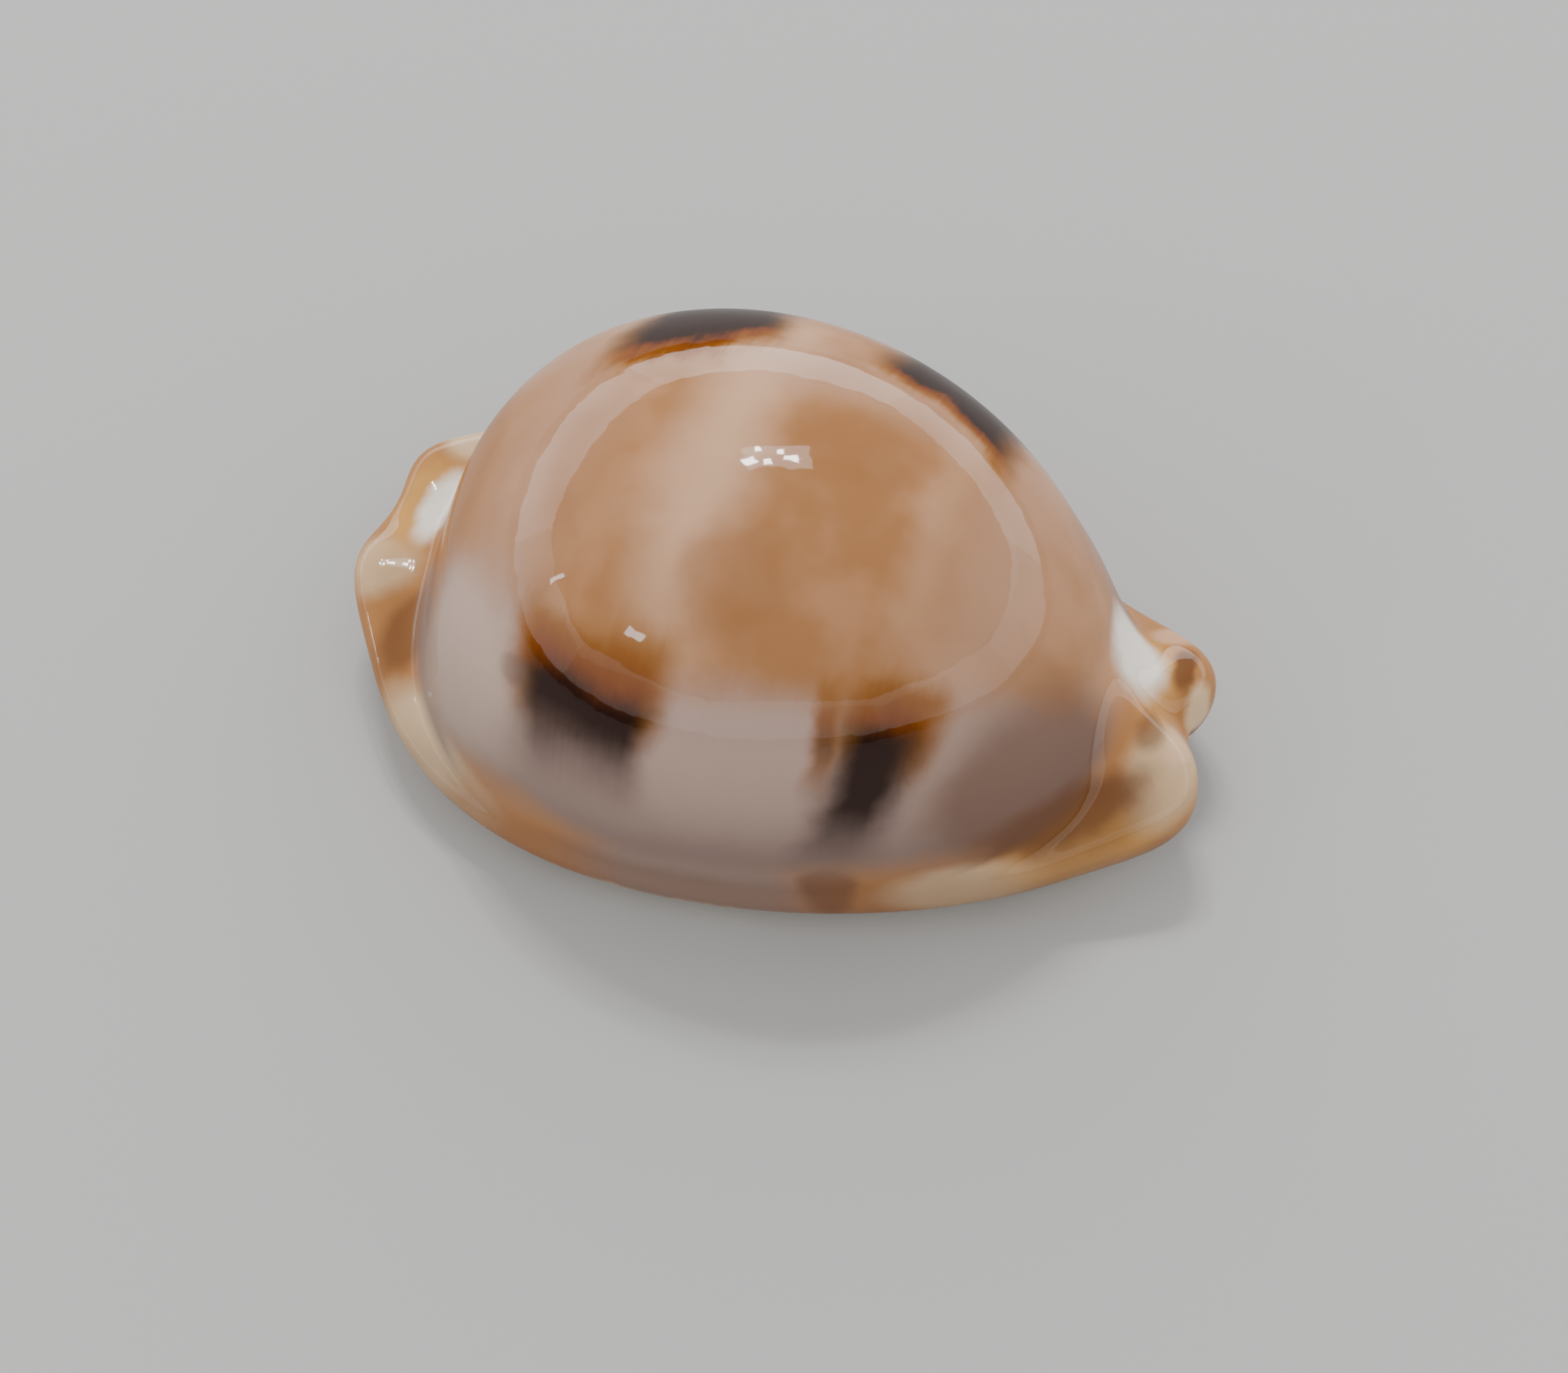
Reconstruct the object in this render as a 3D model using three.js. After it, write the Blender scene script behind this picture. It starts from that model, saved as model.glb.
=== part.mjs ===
// Cowrie shell, adult, hollow, resting on its base. Millimetres, +Z up.
// The narrow front canal is towards +X, the outer lip towards -Y.
// One closed skin runs down the dome, round the rim, across the base, up through
// the slit between the lips and round the inside of the hollow.
// Directions round the shell are in degrees: 0 front canal, 90 inner lip, 180 back canal.
import * as THREE from 'three';
import { LoftGeometry } from 'three/addons/geometries/LoftGeometry.js';

// Dome, the rounded upper part
const DOME = {
  halfLength: 11.5,
  middle: -0.12,
  lean: 0.035, // widest part moved towards the back
  halfWidth: 10.0,
  taper: -0.095, // narrower towards the front
  endWidth: -0.04, // narrower at both ends
  flankFullness: 0.045,
  height: 14.3,
  waistHeight: 4.0,
  frontRise: 0.045,
};
const SWELL = { at: 150, spread: 28, reach: 1.2 }; // the dome stands out more here

// Rim, the outline of the base seen from above
const RIM = {
  halfLength: 14.65,
  halfWidth: 10.03,
  lean: 0.111,
  innerSideExtra: 0.09, // the inner-lip side stands out a little further
  taper: -0.105,
  pinch: -0.036,
  fullness: 0.036,
};
const FLATTER = { at: 310, spread: 22, depth: 0.2 }; // flatter part of the outer margin

// Ears, the raised corners beside the canals
const EARS = [
  { at: -15, spread: 8, reach: 0.96, rise: 0.1 }, // front, outer lip
  { at: 26, spread: 9, reach: 1.18, rise: 1.1 }, // front, inner lip
  { at: 190.6, spread: 9, reach: -0.8, rise: 0.4 }, // back, outer lip
  { at: 162, spread: 8, reach: -0.94, rise: 0.4 }, // back, inner lip
];
const FRONT_CANAL = { at: 6, spread: 4.8, notch: -0.55 };
const BACK_CANAL = { at: 180, spread: 7, notch: 0.05 };
const CANAL_RISE = 3.2; // how far the canals are arched above the base

// Slit between the two lips
const SLIT = {
  halfLength: 11.6,
  halfWidth: 0.8,
  bluntness: 1.6,
  frontWiden: 0.02,
  offset: -1.3, // it lies nearer the outer lip
  backCurve: 0.013,
  frontCurve: 0.009,
};

// How far the raised ends of the shell spread round it
const FRONT_END = { at: 0, spread: 25 };
const BACK_END = { at: 184, spread: 32 };

// Rings round the rim. Each starts from a plain inset and height, to which the raised
// ends, the ears and the canals add their shares.
const GROOVE = {
  inset: 0.1, frontInset: 2.1, backInset: 2.0,
  height: 2.1, frontRise: 3.5, backRise: 1.8,
  earRise: 0, frontCanal: -0.2, backCanal: 0,
  earReach: 0, notch: 0,
};
const CREST = {
  inset: 0, frontInset: 0.75, backInset: 0.75,
  height: 1.65, frontRise: 3.2, backRise: 2.5,
  earRise: 1, frontCanal: -0.7, backCanal: -0.5,
  earReach: 0.7, notch: 0.6,
};
const EDGE = {
  inset: 0, frontInset: 0, backInset: 0,
  height: 1.15, frontRise: 2.6, backRise: 2.4,
  earRise: 0.7, frontCanal: -0.5, backCanal: -0.3,
  earReach: 1, notch: 1,
};
const UNDER_EDGE = {
  inset: 0.45, frontInset: 0, backInset: 0,
  height: 0.55, frontRise: 1.4, backRise: 1.3,
  earRise: 0, frontCanal: 1.3, backCanal: 1.1,
  earReach: 0.9, notch: 1,
};

// Rings across the base: share of the way from the rim to the slit, and what the
// raised ends and the canals add
const OUTER_BASE = {
  share: 0.22, height: 0.05, endRise: 0.95,
  canal: 0.62, frontSpread: 6.5, backSpread: 8, earReach: 0.5, notch: 0.6,
};
const MIDDLE_BASE = {
  share: 0.5, height: -0.15, endRise: 0.4,
  canal: 0.88, frontSpread: 9.5, backSpread: 11, earReach: 0.2, notch: 0,
};
const INNER_BASE = {
  share: 0.82, height: -0.05, endRise: 0.2,
  canal: 1, frontSpread: 16, backSpread: 18, earReach: 0, notch: 0,
};

// Rings up the slit, where the lips turn into the shell
const LIP = { longer: 0, wider: 0, height: 0.4, canal: 1, spread: 25 };
const THROAT = { longer: -0.4, wider: 0.05, height: 1.5, canal: 0.69, spread: 28 };
const INSIDE = { longer: -1.3, wider: 0.7, height: 2.8, canal: 0.31, spread: 30 };

// Hollow: its walls follow the dome at a share of its size, above a thick floor
const HOLLOW_CENTRE = new THREE.Vector3(-0.95, 0, 5);
const HOLLOW_SHARE = 0.88;
const HOLLOW_FLOOR = [
  { angle: 112, length: 0.88, share: 0.66, lift: 2.1 },
  { angle: 98, length: 0.85, share: 0.8, lift: 1.0 },
  { angle: 84, length: 0.86, share: 0.86, lift: 0 },
];
const HOLLOW_WALL_ANGLES = [68, 50, 30, 12, 0];
const HOLLOW_END_SPREAD = 32;

// Dome rings: they stop higher up at the ends, and lean out to meet the rim at the sides
const CROWN_ANGLE = 55;
const DOME_STEP = 11;
const FRONT_SHORTER = { at: 4, spread: 30, by: 5.6 };
const BACK_SHORTER = { at: 182, spread: 34, by: 3.4 };
const LEAN_TO_RIM = [0, 0, 0.1, 0.4, 0.8];
const LEAN_INSET = 0.3;
const FRONT_UPRIGHT = { at: 4, spread: 32 };
const BACK_UPRIGHT = { at: 182, spread: 36 };
const HAND_OVER = [0.5, 3]; // rings between which the true dome gives way to the spline

// How finely the skin is divided
const COLUMNS = 96;
const CROWD_TO_ENDS = 0.5; // columns gather at the canals, where the shape turns fastest
const CROWN_ROWS = 8;
const FINE_FROM = 3; // rings between which the rows lie twice as close together
const FINE_TO = 14;
const CENTRE_SHIFT = new THREE.Vector3(0.055, -0.11, 0);

const rad = THREE.MathUtils.degToRad;

// 1 in the direction of a place, fading to 0 on both sides
function near(t, place, spread = place.spread) {
  return Math.exp((Math.cos(t - rad(place.at)) - 1) / rad(spread) ** 2);
}

// Point of the dome at polar angle theta (degrees) in direction t
function dome(theta, t) {
  const along = Math.sin(rad(theta)) * Math.cos(t);
  const across = Math.sin(rad(theta)) * Math.sin(t);
  const half = DOME.halfWidth * (1 + DOME.taper * along + DOME.endWidth * along ** 2);
  const rise = (DOME.height - DOME.waistHeight) * (1 + DOME.frontRise * along);
  const swell = SWELL.reach * near(t, SWELL) * Math.sin(rad(theta)) ** 2;
  const x = DOME.middle + DOME.halfLength * (along - DOME.lean * (1 - along ** 2));
  const y = half * across * (1 + DOME.flankFullness * (1 - across ** 2));
  return new THREE.Vector3(
    x + swell * Math.cos(t),
    y + swell * Math.sin(t),
    DOME.waistHeight + rise * Math.cos(rad(theta)),
  );
}

// Outermost line of the rim in plan
function rimLine(t) {
  const c = Math.cos(t);
  const s = Math.sin(t);
  const side = RIM.halfWidth + RIM.innerSideExtra * s - FLATTER.depth * near(t, FLATTER);
  const half = side * (1 + RIM.taper * c + RIM.pinch * c * c);
  return new THREE.Vector2(
    RIM.halfLength * (c - RIM.lean * s * s),
    half * s * (1 + RIM.fullness * c * c),
  );
}

// Edge of the slit in plan, made longer and wider
function slitLine(t, longer, wider) {
  const x = (SLIT.halfLength + longer) * Math.cos(t);
  const curve = x < 0 ? SLIT.backCurve : SLIT.frontCurve;
  const side = Math.tanh(SLIT.bluntness * Math.sin(t)) / Math.tanh(SLIT.bluntness);
  const half = (SLIT.halfWidth + wider) * (1 + SLIT.frontWiden * x);
  return new THREE.Vector2(x, SLIT.offset + curve * x * x + half * side);
}

// Sum of one property over the ears, as it counts in direction t
function ears(t, name) {
  return EARS.reduce((sum, ear) => sum + ear[name] * near(t, ear), 0);
}

// Everything that varies round the shell, worked out once for a direction
function direction(t) {
  const inward = new THREE.Vector2(-Math.cos(t) / RIM.halfLength, -Math.sin(t) / RIM.halfWidth);
  const frontCanal = near(t, FRONT_CANAL);
  const backCanal = near(t, BACK_CANAL);
  return {
    t,
    rim: rimLine(t),
    inward: inward.normalize(),
    slit: slitLine(t, 0, 0),
    front: near(t, FRONT_END),
    back: near(t, BACK_END),
    reach: ears(t, 'reach'),
    rise: ears(t, 'rise'),
    frontCanal,
    backCanal,
    notch: FRONT_CANAL.notch * frontCanal + BACK_CANAL.notch * backCanal,
  };
}

function canals(t, frontSpread, backSpread) {
  return CANAL_RISE * (near(t, FRONT_CANAL, frontSpread) + near(t, BACK_CANAL, backSpread));
}

function domeStep(t) {
  return DOME_STEP - FRONT_SHORTER.by * near(t, FRONT_SHORTER) - BACK_SHORTER.by * near(t, BACK_SHORTER);
}

function domeRings(d) {
  const upright = near(d.t, FRONT_UPRIGHT) + near(d.t, BACK_UPRIGHT);
  const foot = d.rim.clone().addScaledVector(d.inward, LEAN_INSET);
  return LEAN_TO_RIM.map((lean, ring) => {
    const p = dome(CROWN_ANGLE + domeStep(d.t) * ring, d.t);
    return p.lerp(new THREE.Vector3(foot.x, foot.y, p.z), lean * Math.max(1 - upright, 0));
  });
}

function rimRing(d, ring) {
  const inset = ring.inset + ring.frontInset * d.front + ring.backInset * d.back;
  const p = d.rim.clone().addScaledVector(d.inward, inset);
  const z = ring.height + ring.frontRise * d.front + ring.backRise * d.back
    + ring.earRise * d.rise + ring.frontCanal * d.frontCanal + ring.backCanal * d.backCanal;
  return new THREE.Vector3(p.x + ring.earReach * d.reach + ring.notch * d.notch, p.y, z);
}

function baseRing(d, ring) {
  const p = d.rim.clone().lerp(d.slit, ring.share);
  const z = ring.height + ring.endRise * (d.front + d.back)
    + ring.canal * canals(d.t, ring.frontSpread, ring.backSpread);
  return new THREE.Vector3(p.x + ring.earReach * d.reach + ring.notch * d.notch, p.y, z);
}

function lipRing(d, ring) {
  const p = slitLine(d.t, ring.longer, ring.wider);
  return new THREE.Vector3(p.x, p.y, ring.height + ring.canal * canals(d.t, ring.spread, ring.spread));
}

function hollowRing(t, ring) {
  const p = dome(ring.angle, t).sub(HOLLOW_CENTRE);
  p.multiply(new THREE.Vector3(ring.length, ring.share, ring.share)).add(HOLLOW_CENTRE);
  const ends = near(t, FRONT_END, HOLLOW_END_SPREAD) + near(t, BACK_CANAL, HOLLOW_END_SPREAD);
  p.z += ring.lift * ends;
  return p;
}

function hollowWall(angle) {
  return { angle, length: HOLLOW_SHARE, share: HOLLOW_SHARE, lift: 0 };
}

function controlPoints(d) {
  const hollow = [...HOLLOW_FLOOR, ...HOLLOW_WALL_ANGLES.map(hollowWall)];
  return [
    ...domeRings(d),
    ...[GROOVE, CREST, EDGE, UNDER_EDGE].map((ring) => rimRing(d, ring)),
    ...[OUTER_BASE, MIDDLE_BASE, INNER_BASE].map((ring) => baseRing(d, ring)),
    ...[LIP, THROAT, INSIDE].map((ring) => lipRing(d, ring)),
    ...hollow.map((ring) => hollowRing(d.t, ring)),
  ];
}

// Uniform cubic B-spline through the control points, ending exactly on the last one
function spline(points, v) {
  const last = points.length - 1;
  const i = Math.floor(v);
  const f = v - i;
  const weights = [
    (1 - f) ** 3 / 6,
    (3 * f ** 3 - 6 * f ** 2 + 4) / 6,
    (-3 * f ** 3 + 3 * f ** 2 + 3 * f + 1) / 6,
    f ** 3 / 6,
  ];
  const sum = new THREE.Vector3();
  for (const [k, weight] of weights.entries()) {
    sum.addScaledVector(points[THREE.MathUtils.clamp(i - 1 + k, 0, last)], weight);
  }
  return sum;
}

// Skin below the crown: the true dome first, handing over to the spline by the groove
function lowerPoint(d, points, v) {
  const p = spline(points, v);
  const blend = THREE.MathUtils.smoothstep(v, ...HAND_OVER);
  if (blend < 1) {
    p.lerp(dome(CROWN_ANGLE + domeStep(d.t) * v, d.t), 1 - blend);
  }
  p.z = Math.max(p.z, 0); // worn flat where it rests
  return p;
}

// Places along a column: close together round the rim and lips, wider in the hollow
function rowPlaces(count) {
  const places = [];
  for (let v = 0; v <= count; v += v >= FINE_FROM && v < FINE_TO ? 0.5 : 1) {
    places.push(v);
  }
  return places;
}

function column(t) {
  const d = direction(t);
  const points = controlPoints(d);
  const rows = [];
  for (let i = 0; i < CROWN_ROWS; i += 1) {
    rows.push(dome((CROWN_ANGLE * i) / CROWN_ROWS, t));
  }
  for (const v of rowPlaces(points.length)) {
    rows.push(lowerPoint(d, points, v));
  }
  return rows.map((p) => p.add(CENTRE_SHIFT));
}

function shellGeometry() {
  const columns = [];
  for (let i = 0; i < COLUMNS; i += 1) {
    const even = (-2 * Math.PI * i) / COLUMNS;
    columns.push(column(even - (CROWD_TO_ENDS / 2) * Math.sin(2 * even)));
  }
  const sections = columns[0].map((_, row) => columns.map((points) => points[row]));
  return new LoftGeometry(sections, { closed: true });
}

const material = new THREE.MeshStandardMaterial({
  color: 0xb08973,
  roughness: 0.15,
  metalness: 0,
});
const shell = new THREE.Mesh(shellGeometry(), material);
shell.name = 'shell';

const cowrie = new THREE.Group();
cowrie.add(shell);

export default cowrie;
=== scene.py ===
"""Cowrie shell: a hollow, glossy sea shell with toothed lips, on a plain studio floor."""
import math

import bpy
import numpy as np
from bpy.props import FloatProperty, FloatVectorProperty, IntProperty, PointerProperty
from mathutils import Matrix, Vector


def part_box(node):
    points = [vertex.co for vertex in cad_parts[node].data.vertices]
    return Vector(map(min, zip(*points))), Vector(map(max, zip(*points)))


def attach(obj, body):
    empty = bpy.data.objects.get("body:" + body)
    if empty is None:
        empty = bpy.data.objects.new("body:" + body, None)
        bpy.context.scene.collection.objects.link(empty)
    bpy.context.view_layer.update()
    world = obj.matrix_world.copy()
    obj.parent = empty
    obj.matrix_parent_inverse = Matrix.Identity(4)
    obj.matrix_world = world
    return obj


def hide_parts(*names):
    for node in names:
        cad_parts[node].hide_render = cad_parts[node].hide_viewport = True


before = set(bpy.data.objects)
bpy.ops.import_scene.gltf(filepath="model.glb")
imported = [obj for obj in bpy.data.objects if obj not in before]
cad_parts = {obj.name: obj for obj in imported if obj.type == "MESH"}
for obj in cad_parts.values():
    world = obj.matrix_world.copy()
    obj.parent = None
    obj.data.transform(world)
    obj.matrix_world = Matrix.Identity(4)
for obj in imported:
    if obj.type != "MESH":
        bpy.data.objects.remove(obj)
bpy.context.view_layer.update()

bl_info = {
    "name": "Cowrie Shell",
    "version": (1, 0, 0),
    "blender": (4, 5, 0),
    "location": "3D View > Sidebar > Cowrie",
    "description": "Builds a glossy cowrie shell and the studio it rests in",
    "category": "Object",
}

NODE = "shell"
NODE_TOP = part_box(NODE)[1][2]
MM = 0.001


# ---------------------------------------------------------------- form of the shell
# Lengths here are in millimetres, and directions run round the shell in degrees:
# 0 is the front canal (+X), 90 the inner lip (+Y), 180 the back canal, 270 the outer lip.

DOME = dict(middle=-0.12, lean=0.035, taper=-0.095, end_width=-0.04, fullness=0.045, front_rise=0.045)
SWELL = dict(at=150, spread=28, reach=1.2)  # the dome stands out a little more here
RIM = dict(lean=0.111, taper=-0.105, pinch=-0.036, fullness=0.036, inner_extra=0.09)
FLATTER = dict(at=310, spread=22, depth=0.2)  # the outer lip's margin is flatter here
SLIT = dict(offset=-1.3, bluntness=1.6, front_widen=0.02, back_curve=0.013, front_curve=0.009)
HOLLOW_CENTRE = np.array([-0.95, 0.0, 5.0])
HOLLOW_END_SPREAD = 32
CENTRE_SHIFT = np.array([0.055, -0.11, 0.0])

# The shell's two raised ends, and how far they spread round it
FRONT_END = dict(at=0, spread=25)
BACK_END = dict(at=184, spread=32)

# Dome rings below the crown. They are closer together at the ends, and lean out to the rim at the sides
CROWN_ANGLE = 55  # polar angle of the first ring
DOME_STEP = 11  # and from each ring to the next
FRONT_SHORTER = dict(at=4, spread=30, by=5.6)
BACK_SHORTER = dict(at=182, spread=34, by=3.4)
LEAN_TO_RIM = (0, 0, 0.1, 0.4, 0.8)  # share of the way to the rim, ring by ring
LEAN_INSET = 0.3  # they lean to a line this far inside it
FRONT_UPRIGHT = dict(at=4, spread=32)
BACK_UPRIGHT = dict(at=182, spread=36)
HAND_OVER = (0.5, 3)  # places between which the true dome gives way to the spline

# Ears, the raised corners beside the two canals
FRONT_OUTER_EAR = dict(at=-15, spread=8, reach=0.96, rise=0.1)
FRONT_INNER_EAR = dict(at=26, spread=9, reach=1.18, rise=1.1)
BACK_OUTER_EAR = dict(at=190.6, spread=9, reach=-0.8, rise=0.4)
BACK_INNER_EAR = dict(at=162, spread=8, reach=-0.94, rise=0.4)
EARS = (FRONT_OUTER_EAR, FRONT_INNER_EAR, BACK_OUTER_EAR, BACK_INNER_EAR)
FRONT_CANAL = dict(at=6, spread=4.8, notch=-0.55)
BACK_CANAL = dict(at=180, spread=7, notch=0.05)

# Rings round the rim, from the groove at the dome's foot to the underside
RIM_RINGS = (
    dict(inset=0.1, front_inset=2.1, back_inset=2.0, height=2.1, front_rise=3.5, back_rise=1.8,
         ear_rise=0.0, front_canal=-0.2, back_canal=0.0, ear_reach=0.0, notch=0.0),
    dict(inset=0.0, front_inset=0.75, back_inset=0.75, height=1.65, front_rise=3.2, back_rise=2.5,
         ear_rise=1.0, front_canal=-0.7, back_canal=-0.5, ear_reach=0.7, notch=0.6),
    dict(inset=0.0, front_inset=0.0, back_inset=0.0, height=1.15, front_rise=2.6, back_rise=2.4,
         ear_rise=0.7, front_canal=-0.5, back_canal=-0.3, ear_reach=1.0, notch=1.0),
    dict(inset=0.45, front_inset=0.0, back_inset=0.0, height=0.55, front_rise=1.4, back_rise=1.3,
         ear_rise=0.0, front_canal=1.3, back_canal=1.1, ear_reach=0.9, notch=1.0),
)

# Rings across the base, from the rim to the lips
BASE_RINGS = (
    dict(share=0.22, height=0.05, rise=0.95, canal=0.62, front_spread=6.5, back_spread=8,
         ear_reach=0.5, notch=0.6),
    dict(share=0.5, height=-0.15, rise=0.4, canal=0.88, front_spread=9.5, back_spread=11,
         ear_reach=0.2, notch=0.0),
    dict(share=0.82, height=-0.05, rise=0.2, canal=1.0, front_spread=16, back_spread=18,
         ear_reach=0.0, notch=0.0),
)

# Rings up the slit, where the lips turn into the shell
LIP_RINGS = (
    dict(longer=0.0, wider=0.0, height=0.4, canal=1.0, spread=25),
    dict(longer=-0.4, wider=0.05, height=1.5, canal=0.69, spread=28),
    dict(longer=-1.3, wider=0.7, height=2.8, canal=0.31, spread=30),
)

# Rings inside the hollow: polar angle on the dome, share of its size, and lift at both ends
HOLLOW_RINGS = (
    dict(angle=112, length=0.88, share=0.66, lift=2.1),
    dict(angle=98, length=0.85, share=0.8, lift=1.0),
    dict(angle=84, length=0.86, share=0.86, lift=0.0),
    *(dict(angle=angle, length=0.88, share=0.88, lift=0.0) for angle in (68, 50, 30, 12, 0)),
)

# Places down the skin count its rings: 0 to 4 on the dome, 5 to 8 on the rim, 9 to 11 on the base,
# 12 to 14 on the lips and 15 to 22 in the hollow. The spline ends at 23.
# Rows of the mesh: first place, last place, step between rows
ROW_SPANS = ((0, 3, 0.25), (3, 10, 1 / 7), (10, 14, 0.1), (14, 23, 0.5))
CROWN_ROWS = 16
CROWD_TO_ENDS = 0.5  # columns gather at the canals, where the shape turns fastest


def near(t, at, spread):
    """1 in the direction at, fading to 0 on both sides."""
    return np.exp((np.cos(t - np.radians(at)) - 1) / np.radians(spread) ** 2)


def close_to(t, feature):
    """The same for a feature that holds its own direction and spread."""
    return near(t, feature["at"], feature["spread"])


class Form:
    """The shell's shape in the directions t (radians), in millimetres."""

    def __init__(self, sizes, t):
        self.sizes, self.t = sizes, t
        self.cos, self.sin = np.cos(t), np.sin(t)
        self.front, self.back = close_to(t, FRONT_END), close_to(t, BACK_END)
        self.front_canal, self.back_canal = close_to(t, FRONT_CANAL), close_to(t, BACK_CANAL)
        self.notch = FRONT_CANAL["notch"] * self.front_canal + BACK_CANAL["notch"] * self.back_canal
        self.ear_reach, self.ear_rise = self.ears("reach"), self.ears("rise")
        self.rim = self.rim_line()
        self.slit = self.slit_line(0, 0)

    def ears(self, name):
        """Sum of one property over the ears, as it counts in each direction."""
        return sum(ear[name] * close_to(self.t, ear) for ear in EARS)

    def dome(self, theta):
        """The rounded upper part at polar angle theta (radians)."""
        along, across = np.sin(theta) * self.cos, np.sin(theta) * self.sin
        waist = self.sizes.waist_height / MM
        narrowed = 1 + DOME["taper"] * along + DOME["end_width"] * along ** 2
        half = self.sizes.dome_half_width / MM * narrowed
        rise = (self.sizes.crown_height / MM - waist) * (1 + DOME["front_rise"] * along)
        swell = SWELL["reach"] * close_to(self.t, SWELL) * np.sin(theta) ** 2
        x = DOME["middle"] + self.sizes.dome_half_length / MM * (along - DOME["lean"] * (1 - along ** 2))
        y = half * across * (1 + DOME["fullness"] * (1 - across ** 2))
        return np.stack([x + swell * self.cos, y + swell * self.sin, waist + rise * np.cos(theta)], -1)

    def rim_line(self):
        """Outermost line of the rim, seen from above. Also sets the direction that leads inward."""
        half_length, half_width = self.sizes.rim_half_length / MM, self.sizes.rim_half_width / MM
        inward = np.stack([-self.cos / half_length, -self.sin / half_width])
        self.inward = inward / np.hypot(*inward)
        side = half_width + RIM["inner_extra"] * self.sin - FLATTER["depth"] * close_to(self.t, FLATTER)
        side = side * (1 + RIM["taper"] * self.cos + RIM["pinch"] * self.cos ** 2)
        x = half_length * (self.cos - RIM["lean"] * self.sin ** 2)
        return np.stack([x, side * self.sin * (1 + RIM["fullness"] * self.cos ** 2)])

    def slit_line(self, longer, wider):
        """Edge of the slit between the lips, seen from below, made longer and wider."""
        x = (self.sizes.slit_half_length / MM + longer) * self.cos
        half_width = self.sizes.slit_half_width / MM + wider
        curve = np.where(x < 0, SLIT["back_curve"], SLIT["front_curve"])
        side = np.tanh(SLIT["bluntness"] * self.sin) / np.tanh(SLIT["bluntness"])
        y = SLIT["offset"] + curve * x * x + half_width * (1 + SLIT["front_widen"] * x) * side
        return np.stack([x, y])

    def canals(self, front_spread, back_spread):
        """How far the two canals are arched above the base."""
        front = near(self.t, FRONT_CANAL["at"], front_spread)
        return self.sizes.canal_rise / MM * (front + near(self.t, BACK_CANAL["at"], back_spread))

    def dome_step(self):
        """Angle between dome rings: smaller at the ends, where the dome stops higher up."""
        return DOME_STEP - sum(end["by"] * close_to(self.t, end) for end in (FRONT_SHORTER, BACK_SHORTER))

    def dome_rings(self):
        """The lowest dome rings lean out to meet the rim along both sides."""
        sideways = np.clip(1 - close_to(self.t, FRONT_UPRIGHT) - close_to(self.t, BACK_UPRIGHT), 0, 1)
        foot = (self.rim + LEAN_INSET * self.inward).T
        rings = []
        for j, lean in enumerate(LEAN_TO_RIM):
            p = self.dome(np.radians(CROWN_ANGLE + self.dome_step() * j))
            p[:, :2] += (foot - p[:, :2]) * (lean * sideways)[:, None]
            rings.append(p)
        return rings

    def rim_ring(self, ring):
        inset = ring["inset"] + ring["front_inset"] * self.front + ring["back_inset"] * self.back
        x, y = self.rim + self.inward * inset
        z = (ring["height"] + ring["front_rise"] * self.front + ring["back_rise"] * self.back
             + ring["ear_rise"] * self.ear_rise + ring["front_canal"] * self.front_canal
             + ring["back_canal"] * self.back_canal)
        x = x + ring["ear_reach"] * self.ear_reach + ring["notch"] * self.notch
        return np.stack([x, y, z], -1)

    def base_ring(self, ring):
        x, y = self.rim + (self.slit - self.rim) * ring["share"]
        z = ring["height"] + ring["rise"] * (self.front + self.back)
        z = z + ring["canal"] * self.canals(ring["front_spread"], ring["back_spread"])
        x = x + ring["ear_reach"] * self.ear_reach + ring["notch"] * self.notch
        return np.stack([x, y, z], -1)

    def lip_ring(self, ring):
        x, y = self.slit_line(ring["longer"], ring["wider"])
        z = ring["height"] + ring["canal"] * self.canals(ring["spread"], ring["spread"])
        return np.stack([x, y, z], -1)

    def hollow_ring(self, ring):
        p = self.dome(np.radians(ring["angle"])) - HOLLOW_CENTRE
        p = p * [ring["length"], ring["share"], ring["share"]] + HOLLOW_CENTRE
        ends = (near(self.t, end["at"], HOLLOW_END_SPREAD) for end in (FRONT_END, BACK_CANAL))
        p[:, 2] += ring["lift"] * sum(ends)
        return p

    def rings(self):
        """All the rings, from the crown's edge down, across the base and up into the hollow."""
        return np.array(self.dome_rings() + [self.rim_ring(ring) for ring in RIM_RINGS]
                        + [self.base_ring(ring) for ring in BASE_RINGS]
                        + [self.lip_ring(ring) for ring in LIP_RINGS]
                        + [self.hollow_ring(ring) for ring in HOLLOW_RINGS])


def smoothstep(x, low, high):
    s = np.clip((x - low) / (high - low), 0, 1)
    return s * s * (3 - 2 * s)


def spline(rings, v):
    """Uniform cubic B-spline through the rings at v, ending exactly on the last one."""
    i = np.floor(v).astype(int)
    f = (v - i)[:, None, None]
    weights = ((1 - f) ** 3, 3 * f ** 3 - 6 * f ** 2 + 4, -3 * f ** 3 + 3 * f ** 2 + 3 * f + 1, f ** 3)
    last = len(rings) - 1
    return sum(w / 6 * rings[np.clip(i - 1 + k, 0, last)] for k, w in enumerate(weights))


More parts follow.
